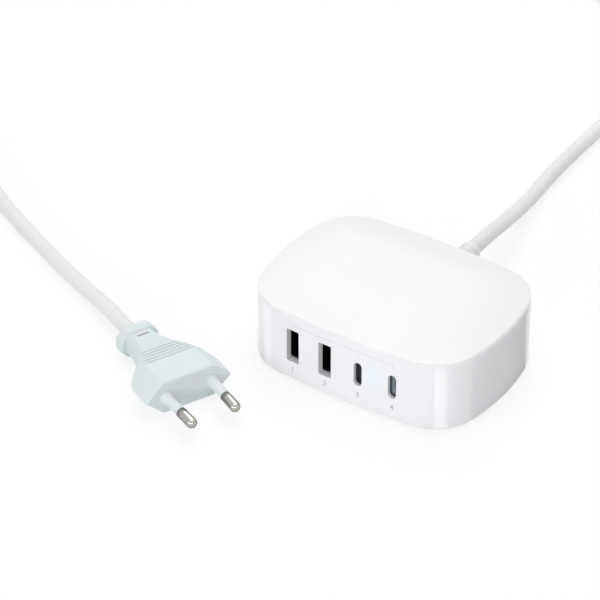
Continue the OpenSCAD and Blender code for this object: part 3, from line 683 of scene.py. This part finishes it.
def make_cover(material):
    """A pillow with a rounded rim that sits in a hairline groove on the wall."""
    edge = 0.35
    skirt_in = 3.0
    skirt_h = 3
    seat = WALL_TOP - 0.05
    rim_z = WALL_TOP + RIM_H - edge
    rings = [ring(skirt_in + 0.2, WALL_TOP - skirt_h), ring(skirt_in, WALL_TOP - skirt_h)]
    rings.append(ring(skirt_in, seat))
    rings.append(ring(RIM_IN + 0.3, seat))
    rings.append(ring(RIM_IN, WALL_TOP + 0.02))
    rings.append(ring(RIM_IN, rim_z))
    for i in range(1, 5):
        a = math.radians(68 * i / 5)
        rings.append(ring(RIM_IN + edge * (1 - math.cos(a)), rim_z + edge * math.sin(a)))
    # The dome's rings lie closer together towards its rim, and the first is clear of the rim's last
    dome_in = RIM_IN + edge * 0.7
    dome_clear = 0.9995
    dome_steps = 30
    for i in range(dome_steps):
        s = 1 - (i / dome_steps) ** 1.4
        rings.append(ring(dome_in, dome_z(s), s * dome_clear))
    obj = link("cover_shell", loft("cover_shell", rings), material)
    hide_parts("top_cover")


def make_usb_c_liner(number, x, material):
    """The drawn shell of a socket, with a lead-in funnel that stands in the wall's window."""
    front = front_y(x) + LINER_BACK
    funnel = front + 2.6
    neck = funnel + 0.4
    back = front_y(x) + 12.3
    # Each station is (y, width, height)
    outer = [(front + 0.1, 3.14, 9.8), (front + 0.02, 3.22, 9.88), (funnel, 3.22, 9.88),
             (neck, 3.16, 8.94), (back, 3.16, 8.94)]
    inner = [(back, 2.56, 8.34), (neck, 2.56, 8.34), (front + 0.6, 2.62, 9.2),
             (front + 0.12, 2.78, 9.4), (front, 2.94, 9.6)]
    rings = []
    for y, w, h in outer + inner:
        section = rounded_rectangle(w, h, w / 2 - SLOT_SHORT, 10)
        rings.append([(x + p[0], y, USB_C_MID + p[1]) for p in section])
    mesh = loft(f"usb_c_liner_{number}", rings, loop=True)
    obj = link(f"usb_c_liner_{number}", mesh, material)
    obj.data.set_sharp_from_angle(angle=math.radians(40))
    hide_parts(f"usb_c_shell_{number}")


def liner_material(number, x, shadow_lip_depth, painted_light):
    """Drawn steel with a painted shadow at its lip, of a given depth, and painted light that makes
    it brighter further in.
    """
    m = Nodes(f"socket_liner_steel_{number}")
    # Painted shade and light: a near-black lip where shadow falls, then a pale lit steel further
    # in, brighter in one liner than the other.
    painted_shadow_lip = (0.03, 0.035, 0.045, 1)
    steel = (0.82, 0.91, 1.0)
    drawn = (0.3, 0.33, 0.38, 1)
    fade = 0.0014
    axes = m.add("ShaderNodeSeparateXYZ", {"Vector": m.where})
    lines = m.noise(1400.0, 2.0, 0.5, (1.0, 0.15, 1.0))
    mouth = (front_y(x) + LINER_BACK) * MM
    depth = m.maths("SUBTRACT", axes.outputs["Y"], mouth)
    # The ramp fades from the painted shadow to the painted light over a short depth.
    painted_light_mask = m.ramp(depth, shadow_lip_depth, shadow_lip_depth + fade)
    painted_shade_and_light = m.mix(painted_light_mask, painted_shadow_lip, shade(steel, painted_light))
    m.join(m.mix(m.maths("MULTIPLY", lines, 0.2), painted_shade_and_light, drawn), "Base Color")
    m.join(m.ramp(lines, 0.3, 0.7, 0.3, 0.45), "Roughness")
    m.set(metallic=0.1)
    return m.material


# The plug, in its own frame: +X is the way the pins point, the face is at x = 0


def plug_place(mesh):
    """Lays a mesh made in the plug's frame where the plug lies."""
    turn = Matrix.Rotation(PLUG_HEADING, 4, "Z")
    move = Matrix.Translation(Vector((PLUG_AT[0], PLUG_AT[1], PLUG_H / 2)) * MM)
    mesh.transform(move @ turn)


PLUG_TOP_W = 21.0
FLANGE_L = 5.0
FLANGE_W = 15.6
FLANGE_H = 11.0
NECK_H = 9.6
NECK_END = -SHELL_L + FLANGE_L
TAPER_FROM = -12.0
# Half widths of the plug along its length: a straight head, a shoulder and a hollow waist
PLUG_WAIST = [(0, 17.3), (-10, 17.3), (-12.4, 16.5), (-14.6, 14.5), (-17.8, 11.4),
              (-20.7, 9.2), (-23.5, 7.7), (-27, 6.5), (-31, 5.9), (-35, 5.8)]
# Half widths of its flat top along its length
PLUG_RIDGE = [(0, 10.4), (-10, 10.4), (-12.4, 10.3), (-15, 9.7), (-18, 8.7), (-21, 7.4),
              (-25, 5.7), (-29, 4.6), (-32, 4.2), (-35, 4.1)]


def plug_shift(x):
    """How far the plug's axis is off its straight line towards the tail."""
    bend_from = -9
    t = smoothstep((x - bend_from) / (NECK_END - bend_from))
    return TAIL_SWAY * t, TAIL_SAG * t


def curve_through(knots, x):
    """A smooth curve through points that run down from x = 0."""
    if x >= knots[0][0]:
        return knots[0][1]
    for i in range(len(knots) - 1):
        x0, w0 = knots[i]
        x1, w1 = knots[i + 1]
        if x >= x1:
            before = knots[max(i - 1, 0)]
            after = knots[min(i + 2, len(knots) - 1)]
            span = x1 - x0
            slope0 = (w1 - before[1]) / (x1 - before[0]) * span
            slope1 = (after[1] - w0) / (after[0] - x0) * span
            t = (x - x0) / span
            return (w0 * (2 * t ** 3 - 3 * t ** 2 + 1) + slope0 * (t ** 3 - 2 * t ** 2 + t)
                    + w1 * (3 * t ** 2 - 2 * t ** 3) + slope1 * (t ** 3 - t ** 2))
    return knots[-1][1]


def plug_half_height(x):
    """Half the plug's height, which tapers to the neck behind the head."""
    half = PLUG_H / 2
    if x >= TAPER_FROM:
        return half
    t = (x - TAPER_FROM) / (NECK_END - TAPER_FROM)
    return half - (half - NECK_H / 2) * t


def rounded_polygon(corners, radius, steps):
    """A polygon with its corners rounded: the same number of points at each corner."""
    points = []
    count = len(corners)
    for i in range(count):
        p = Vector(corners[i])
        before = Vector(corners[i - 1]) - p
        after = Vector(corners[(i + 1) % count]) - p
        reach = min(before.length, after.length) * 0.49
        bend = math.pi - before.angle(after)
        tangent = min(reach, radius * math.tan(bend / 2) + 0.02)
        a = p + before.normalized() * tangent
        b = p + after.normalized() * tangent
        for k in range(steps + 1):
            t = k / steps
            points.append((1 - t) * (1 - t) * a + 2 * t * (1 - t) * p + t * t * b)
    return points


def plug_section(x, inset, groove):
    """One section of the plug's body as points (y, z)."""
    full = curve_through(PLUG_WAIST, x)
    w = full - inset
    h = plug_half_height(x) - inset - groove
    side_run = (PLUG_W - PLUG_TOP_W) / 2
    low = PLUG_H / 2 * (PLUG_W / 2 - full) / side_run
    least_side = 0.35
    least_slope = 1.2
    side_h = min(max(low, least_side), h * 0.5)
    top = min(curve_through(PLUG_RIDGE, x) + groove * 0.8, w - least_slope)
    corners = [(w, -side_h), (w, side_h), (top, h), (-top, h), (-w, side_h), (-w, -side_h),
               (-top, -h), (top, -h)]
    corner_r = 1.5
    sway, sag = plug_shift(x)
    return [(p.x + sway, p.y + sag) for p in rounded_polygon(corners, corner_r, 5)]


def make_plug(material):
    """The head, the waist with its grip grooves, and the slot by the neck."""
    edge = 0.85
    grooves = 5
    groove_first = -12.9
    groove_pitch = 1.8
    groove_w = 0.95
    groove_h = 0.42
    flank = 0.2
    slot_x = NECK_END + 2.2
    slot_depth = 1.1
    slot_w = 1.1
    slot_l = 5.0
    head_step = 1.2
    tail_step = 0.9
    overlap = 0.6
    # Each station is (x, inset of the section, depth of the groove)
    stations = [(-edge * (1 - math.sin(math.radians(15 * i))),
                 edge * (1 - math.cos(math.radians(15 * i))), 0.0) for i in range(6, -1, -1)]
    x = -edge - 0.8
    while x > groove_first + 0.3:
        stations.append((x, 0.0, 0.0))
        x -= head_step
    for k in range(grooves):
        at = groove_first - groove_pitch * k
        stations += [(at, 0.0, 0.0), (at - flank, 0.0, groove_h),
                     (at - groove_w + flank, 0.0, groove_h), (at - groove_w, 0.0, 0.0),
                     (at - (groove_w + groove_pitch) / 2, 0.0, 0.0)]
    x = stations[-1][0] - 0.6
    while x > NECK_END + 0.6:
        stations.append((x, 0.0, 0.0))
        x -= tail_step
    stations.append((NECK_END - overlap, 0.0, 0.0))
    rings = []
    for x, inset, groove in stations:
        rings.append([(x, y, z) for y, z in plug_section(x, inset, groove)])
    obj = link("plug_shell", loft("plug_shell", rings), material)
    slot = rounded_rectangle(slot_w, slot_l, 0.45, 4)
    cutters = []
    sway, sag = plug_shift(slot_x)
    for side in (-1, 1):
        low = side * (NECK_H / 2 - slot_depth) + sag
        high = side * (NECK_H / 2 + 2) + sag
        cutters.append(loft("cutter", [[(slot_x + p[0], p[1] + sway, z) for p in slot]
                                       for z in (low, high)]))
    cut(obj, cutters)
    obj.data.set_sharp_from_angle(angle=math.radians(38))
    plug_place(obj.data)
    return obj


def make_plug_flange(material):
    """The plate with cut corners at the plug's tail."""
    soft = 1.0
    cut_corner = 3.2
    corner_r = 2.2
    rings = []
    steps = 5
    for i in range(steps + 1):
        a = math.radians(90 * i / steps)
        inset = soft * (1 - math.sin(a))
        x = NECK_END - soft * (1 - math.cos(a))
        rings.append((x, inset))
    for i in range(steps + 1):
        a = math.radians(90 * i / steps)
        inset = soft * (1 - math.cos(a))
        x = -SHELL_L + soft - soft * math.sin(a)
        rings.append((x, inset))
    sections = []
    for x, inset in rings:
        w = FLANGE_W / 2 - inset
        h = FLANGE_H / 2 - inset
        side_h = h - cut_corner
        top = w - cut_corner
        corners = [(w, -side_h), (w, side_h), (top, h), (-top, h), (-w, side_h), (-w, -side_h),
                   (-top, -h), (top, -h)]
        section = rounded_polygon(corners, corner_r, 4)
        sections.append([(x, p.x + TAIL_SWAY, p.y + TAIL_SAG) for p in section])
    obj = link("plug_flange", loft("plug_flange", sections), material)
    plug_place(obj.data)
    return obj


PIN_PITCH = 18.6
TIP_PITCH = 17.5
PIN_D = 4.0
PIN_L = 19.0
SLEEVE_L = 10.0
SLEEVE_D = 3.86
SLEEVE_FOOT_D = 5.2
PIN_SPLAY = math.atan((PIN_PITCH - TIP_PITCH) / 2 / PIN_L)


def pin_mesh(name, side, profile):
    """A turned profile where the pin of that side stands: the pins splay in a little."""
    mesh = loft(name, lathe(profile, (0, 0, 0), (1, 0, 0), 48))
    mesh.transform(Matrix.Translation((0, side * PIN_PITCH / 2 * MM, 0))
                   @ Matrix.Rotation(-side * PIN_SPLAY, 4, "Z"))
    plug_place(mesh)
    return mesh


def make_pins(metal_material, sleeve_material):
    """Two round pins, each in a sleeve that widens towards the plug."""
    r = PIN_D / 2
    thin = SLEEVE_D / 2
    foot = SLEEVE_FOOT_D / 2
    foot_l = 4.2
    tip = 1.75
    core = 0.3
    overlap = 0.6
    pieces = []
    for number, side in ((1, -1), (2, 1)):
        profile = [(-overlap, core), (-overlap, foot)]
        for i in range(9):
            t = i / 8
            profile.append((t * foot_l, thin + (foot - thin) * (1 - smoothstep(t)) ** 1.6))
        profile += [(SLEEVE_L - 0.25, thin), (SLEEVE_L - 0.05, thin - 0.12),
                    (SLEEVE_L - 0.05, core)]
        sleeve = link(f"sleeve_{number}", pin_mesh(f"sleeve_{number}", side, profile),
                      sleeve_material)
        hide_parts(f"pin_sleeve_{number}")
        profile = [(SLEEVE_L - 2, core), (SLEEVE_L - 2, thin - 0.3), (SLEEVE_L, thin - 0.3),
                   (SLEEVE_L, r - 0.2), (SLEEVE_L + 0.2, r), (SLEEVE_L + 3, r)]
        for i in range(9):
            a = math.radians(88 * i / 8)
            profile.append((PIN_L - tip + tip * math.sin(a), r - tip + tip * math.cos(a)))
        pin = link(f"pin_{number}", pin_mesh(f"pin_{number}", side, profile), metal_material)
        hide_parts(f"plug_pin_{number}")
        pieces += [sleeve, pin]
    return pieces


def make_relief(material):
    """A ribbed taper with a collar against the case."""
    through_r = 3.9
    root = 5.75
    start = 5.0
    end = 3.9
    profile = [(-3, 0.5), (-3, through_r), (0.05, through_r), (0.05, root - 0.2), (0.3, root),
               (1.5, root), (2.1, root - 0.4), (2.3, start)]
    ribs = 6
    rib_h = 0.55
    first = 3.0
    last = RELIEF_L - 3.4
    pitch = (last - first) / ribs
    for i in range(ribs):
        at = first + pitch * i
        outer = start + (end - start) * (at - first) / (last - first)
        inner = outer - rib_h
        profile += [(at, outer - 0.15), (at + 0.15, outer), (at + pitch * 0.55, outer - 0.05),
                    (at + pitch * 0.62, outer - 0.2), (at + pitch * 0.68, inner),
                    (at + pitch * 0.92, inner)]
    profile += [(last, end - 0.4), (last + 0.3, end - 0.1), (last + 0.6, end),
                (RELIEF_L - 0.8, end), (RELIEF_L - 0.25, end - 0.25), (RELIEF_L, end - 0.75),
                (RELIEF_L, CORD_D / 2 - 0.3)]
    rings = lathe(profile, (0, BODY_D / 2, RELIEF_Z), (0, 1, 0), 64)
    obj = link("relief_sleeve", loft("relief_sleeve", rings), material)
    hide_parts("strain_relief")
    return obj


def make_tie(material):
    """A woven band round the coil."""
    width = 9.0
    thick = 0.8
    gap = 0.15
    half = 2 * CORD_D / 2 + gap
    middle = Vector((COIL_AT[0], COIL_AT[1] - COIL_D / 2, COIL_LIFT + CORD_D))
    inner = rounded_rectangle(2 * half, 2 * half, CORD_D / 2, 8)
    outer = rounded_rectangle(2 * (half + thick), 2 * (half + thick), CORD_D / 2 + thick, 8)
    rings = []
    for section, side in ((inner, -1), (outer, -1), (outer, 1), (inner, 1)):
        rings.append([(middle.x + side * width / 2, middle.y + p[0], middle.z + p[1])
                      for p in section])
    mesh = loft("tie_band", rings, loop=True)
    obj = link("tie_band", mesh, material)
    soften(obj, 0.15, 40.0, 2)
    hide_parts("cord_tie")
    return obj


# Print on the front wall


PRINT_PROUD = 0.02
PRINT_THICK = 0.05


def on_wall(x, z):
    """A point that stands a little proud of the front wall, in metres."""
    return (x * MM, front_y(x, -PRINT_PROUD) * MM, z * MM)


def strip(name, route, width, material):
    """A printed line that follows the curved wall."""
    mesh = bpy.data.meshes.new(name)
    bm = bmesh.new()
    left = []
    right = []
    count = len(route)
    for i, (x, z) in enumerate(route):
        a = Vector(route[max(i - 1, 0)])
        b = Vector(route[min(i + 1, count - 1)])
        normal = Vector((-(b - a).y, (b - a).x)).normalized() * width / 2
        left.append(bm.verts.new(on_wall(x + normal.x, z + normal.y)))
        right.append(bm.verts.new(on_wall(x - normal.x, z - normal.y)))
    for i in range(count - 1):
        bm.faces.new((left[i], right[i], right[i + 1], left[i + 1]))
    bmesh.ops.recalc_face_normals(bm, faces=bm.faces)
    bm.to_mesh(mesh)
    bm.free()
    thicken(link(name, mesh, material))


def thicken(obj):
    """Gives flat print a body, so that it is a closed solid sunk into the wall."""
    change = obj.modifiers.new("thicken", "SOLIDIFY")
    change.thickness = PRINT_THICK * MM
    change.offset = -1.0
    apply_modifiers(obj)


def rounded_route(points, radius):
    """A bent line with its corners rounded, in short steps."""
    steps = 6
    route = [Vector(points[0])]
    for a, p, b in zip(points, points[1:], points[2:]):
        p = Vector(p)
        into = (Vector(a) - p).normalized() * radius
        out = (Vector(b) - p).normalized() * radius
        for k in range(steps + 1):
            t = k / steps
            route.append((1 - t) ** 2 * (p + into) + 2 * t * (1 - t) * p + t * t * (p + out))
    route.append(Vector(points[-1]))
    fine = []
    for a, b in zip(route, route[1:]):
        parts = max(1, int((b - a).length / 1.5))
        fine += [a.lerp(b, k / parts) for k in range(parts)]
    fine.append(route[-1])
    return [(q.x, q.y) for q in fine]


def make_print(material, line_material):
    """The thin bracket above the sockets and a plain number under each."""
    line_top = 24.95
    line_end = line_top - 2.0
    line_w = 0.17
    shift = 0.6
    left = PORT_X[0] + shift
    right = PORT_X[3] + shift
    corners = [(left, line_end), (left, line_top), (right, line_top), (right, line_end)]
    strip("print_bracket", rounded_route(corners, 1.0), line_w, line_material)
    number_z = (5.1, 5.1, 6.0, 6.0)
    for i, x in enumerate(PORT_X):
        digit(f"print_number_{i + 1}", str(i + 1), x, number_z[i], material)


def digit(name, text, x, z, material):
    """A printed number, laid on the curved wall."""
    size = 3.1
    data = bpy.data.curves.new(name, "FONT")
    data.body = text
    data.size = size * MM
    data.align_x = "CENTER"
    data.align_y = "CENTER"
    data.resolution_u = 6
    maker = add_object(name + "_text", data)
    graph = bpy.context.evaluated_depsgraph_get()
    mesh = bpy.data.meshes.new_from_object(maker.evaluated_get(graph))
    bpy.data.objects.remove(maker)
    mesh.name = name
    for vertex in mesh.vertices:
        u = vertex.co.x / MM
        v = vertex.co.y / MM
        vertex.co = on_wall(x + u, z + v)
    mesh.materials.clear()
    thicken(link(name, mesh, material))


# Stage


# The floor's own white, for the background rays alone: its share of what they see, its strength
FLOOR_LIFT = 0.65
FLOOR_WHITE = 1.15
# How far the floor lies below the feet, in metres
FLOOR_DROP = 0.00005
WORLD_LIGHT = 0.3
# How far from the wall a card on the floor is seen in it, in millimetres
CARD_REACH = 44.0


def background_rays(tree):
    """One for the rays that should see a white background: camera, glossy and transmission."""
    path = tree.nodes.new("ShaderNodeLightPath")
    first = tree.nodes.new("ShaderNodeMath")
    first.operation = "MAXIMUM"
    tree.links.new(path.outputs["Is Camera Ray"], first.inputs[0])
    tree.links.new(path.outputs["Is Glossy Ray"], first.inputs[1])
    second = tree.nodes.new("ShaderNodeMath")
    second.operation = "MAXIMUM"
    tree.links.new(first.outputs[0], second.inputs[0])
    tree.links.new(path.outputs["Is Transmission Ray"], second.inputs[1])
    return second.outputs[0]


def pick_background(tree, factor, first, second, out):
    """Mixes two shaders into an output: the second for the rays that see the background."""
    pick = tree.nodes.new("ShaderNodeMixShader")
    tree.links.new(factor, pick.inputs[0])
    tree.links.new(first.outputs[0], pick.inputs[1])
    tree.links.new(second.outputs[0], pick.inputs[2])
    tree.links.new(pick.outputs[0], out.inputs["Surface"])


def make_stage():
    """A matt white floor that keeps a part of the object's shadow."""
    size = 6.0
    mesh = bpy.data.meshes.new("floor")
    mesh.from_pydata([(-size, -size, 0), (size, -size, 0), (size, size, 0), (-size, size, 0)], [],
                     [(0, 1, 2, 3)])
    floor = add_object("floor", mesh)
    floor.location.z = -FLOOR_DROP
    material = bpy.data.materials.new("floor_white")
    material.use_nodes = True
    tree = material.node_tree
    tree.nodes.clear()
    out = tree.nodes.new("ShaderNodeOutputMaterial")
    matt = tree.nodes.new("ShaderNodeBsdfDiffuse")
    matt.inputs["Color"].default_value = (0.8, 0.8, 0.8, 1)
    white = tree.nodes.new("ShaderNodeEmission")
    white.inputs["Strength"].default_value = FLOOR_WHITE
    part = tree.nodes.new("ShaderNodeMath")
    part.operation = "MULTIPLY"
    part.inputs[1].default_value = FLOOR_LIFT
    tree.links.new(background_rays(tree), part.inputs[0])
    pick_background(tree, part.outputs[0], matt, white, out)
    mesh.materials.append(material)


def make_world():
    """A dim even light that the background rays see as plain white."""
    world = bpy.data.worlds.new("studio")
    scene.world = world
    world.use_nodes = True
    tree = world.node_tree
    tree.nodes.clear()
    out = tree.nodes.new("ShaderNodeOutputWorld")
    light = tree.nodes.new("ShaderNodeBackground")
    light.inputs["Color"].default_value = (1, 1, 1, 1)
    light.inputs["Strength"].default_value = WORLD_LIGHT
    white = tree.nodes.new("ShaderNodeBackground")
    white.inputs["Color"].default_value = (1, 1, 1, 1)
    white.inputs["Strength"].default_value = 1.0
    pick_background(tree, background_rays(tree), light, white, out)


def place_lamp(name, data, at, aim):
    lamp = add_object(name, data)
    lamp.location = at
    lamp.rotation_mode = "QUATERNION"
    lamp.rotation_quaternion = (Vector(at) - Vector(aim)).to_track_quat("Z", "Y")


def area_light(name, at, aim, size, power):
    """A rectangular soft box."""
    data = bpy.data.lights.new(name, "AREA")
    data.shape = "RECTANGLE"
    data.size = size[0]
    data.size_y = size[1]
    data.energy = power
    place_lamp(name, data, at, aim)


def spot(name, at, aim, angle, power):
    """A soft round lamp kept to the case's front."""
    data = bpy.data.lights.new(name, "SPOT")
    data.energy = power
    data.spot_size = math.radians(2 * angle)
    data.spot_blend = 0.9
    data.shadow_soft_size = 0.12
    place_lamp(name, data, at, aim)


def make_lights():
    """Soft boxes all round, and cards for the bands that the photograph's wall shows."""
    aim = (0, 0, 0.01)
    area_light("overhead_softbox", (-0.2, 0.55, 2.75), aim, (3.4, 3.4), 48.0)
    area_light("front_softbox", (-0.9, -1.8, 0.6), aim, (1.2, 0.8), 10.5)
    area_light("right_softbox", (1.5, -1.3, 0.55), aim, (1.0, 0.8), 7.0)
    area_light("back_left_card", (-1.1, 1.6, 1.45), aim, (1.1, 1.1), 8.0)
    area_light("back_softbox", (0.3, 2.2, 1.0), aim, (2.2, 1.2), 5.0)
    spot("front_spot", (0.25, -0.93, 0.22), (0.0, -0.034, 0.014), 8.5, 8.5)
    right = (CORNER_C, CORNER_R)
    left = (Vector((-CORNER_C.x, CORNER_C.y)), CORNER_R)
    reflector("strip_right", right, (-58, -44), 2.6)
    reflector("strip_right_fade", right, (-44, -31), 1.0)
    reflector("strip_right_end", right, (-31, -21), 0.9)
    reflector("strip_left", left, (-117, -103), 1.5)
    reflector("flag_right", (SIDE_C, SIDE_R), (-12.5, 12.5), 0.15)


def reflector(name, wall, angles, strength):
    """A card on the floor, seen only in the polished wall, where it draws an upright band."""
    view = math.radians(90) + AZIMUTH
    off_wall = 0.2
    off_floor = 0.00003
    centre, radius = wall
    near = []
    far = []
    steps = 12
    for i in range(steps + 1):
        a = math.radians(angles[0] + (angles[1] - angles[0]) * i / steps)
        away = 2 * a + math.pi - view
        x = centre.x + radius * math.cos(a)
        y = centre.y + radius * math.sin(a)
        for row, distance in ((near, off_wall), (far, CARD_REACH)):
            row.append(((x + distance * math.cos(away)) * MM, (y + distance * math.sin(away)) * MM,
                        off_floor))
    mesh = bpy.data.meshes.new(name)
    faces = [(i, i + 1, i + steps + 2, i + steps + 1) for i in range(steps)]
    mesh.from_pydata(near + far, [], faces)
    card = add_object(name, mesh)
    material = bpy.data.materials.new(name)
    material.use_nodes = True
    shader = material.node_tree.nodes["Principled BSDF"]
    shader.inputs["Base Color"].default_value = (0.02, 0.02, 0.02, 1)
    shader.inputs["Emission Color"].default_value = (1, 1, 1, 1)
    shader.inputs["Emission Strength"].default_value = strength
    mesh.materials.append(material)
    card.visible_camera = False
    card.visible_diffuse = False
    card.visible_transmission = False
    card.visible_shadow = False


# The scene


add_camera()
slots = make_materials()
for part in frame["record"]["subparts"]:
    shape = nodes[part["node"]]
    shape.data.materials.clear()
    shape.data.materials.append(slots[part["material_slot"]])

lead = make_cord(slots["cord_pvc"])
relief = make_relief(soft_pvc("relief_white_pvc", RELIEF_WHITE, 0.46).material)
tie = make_tie(slots["tie_plastic"])
make_case(slots["housing_plastic"])
make_cover(slots["cover_plastic"])
# Each liner's number and place, how deep its painted shadow at the lip is, and how bright its
# painted light is further in
for number, x, shadow_lip_depth, painted_light in ((1, PORT_X[2], 0.0012, 0.3), (2, PORT_X[3], 0.0004, 1.0)):
    make_usb_c_liner(number, x, liner_material(number, x, shadow_lip_depth, painted_light))
ink = moulded("print_grey", (0.4, 0.405, 0.41), 0.5).material
line_ink = moulded("print_line_grey", (0.6, 0.605, 0.61), 0.5).material
make_print(ink, line_ink)
plug = make_plug(slots["plug_pvc"])
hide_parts("plug_body")
flange = make_plug_flange(slots["plug_pvc"])
pins = make_pins(slots["pin_nickel"], slots["plug_pvc"])
make_stage()
make_world()
make_lights()
scene.view_settings.view_transform = "Standard"
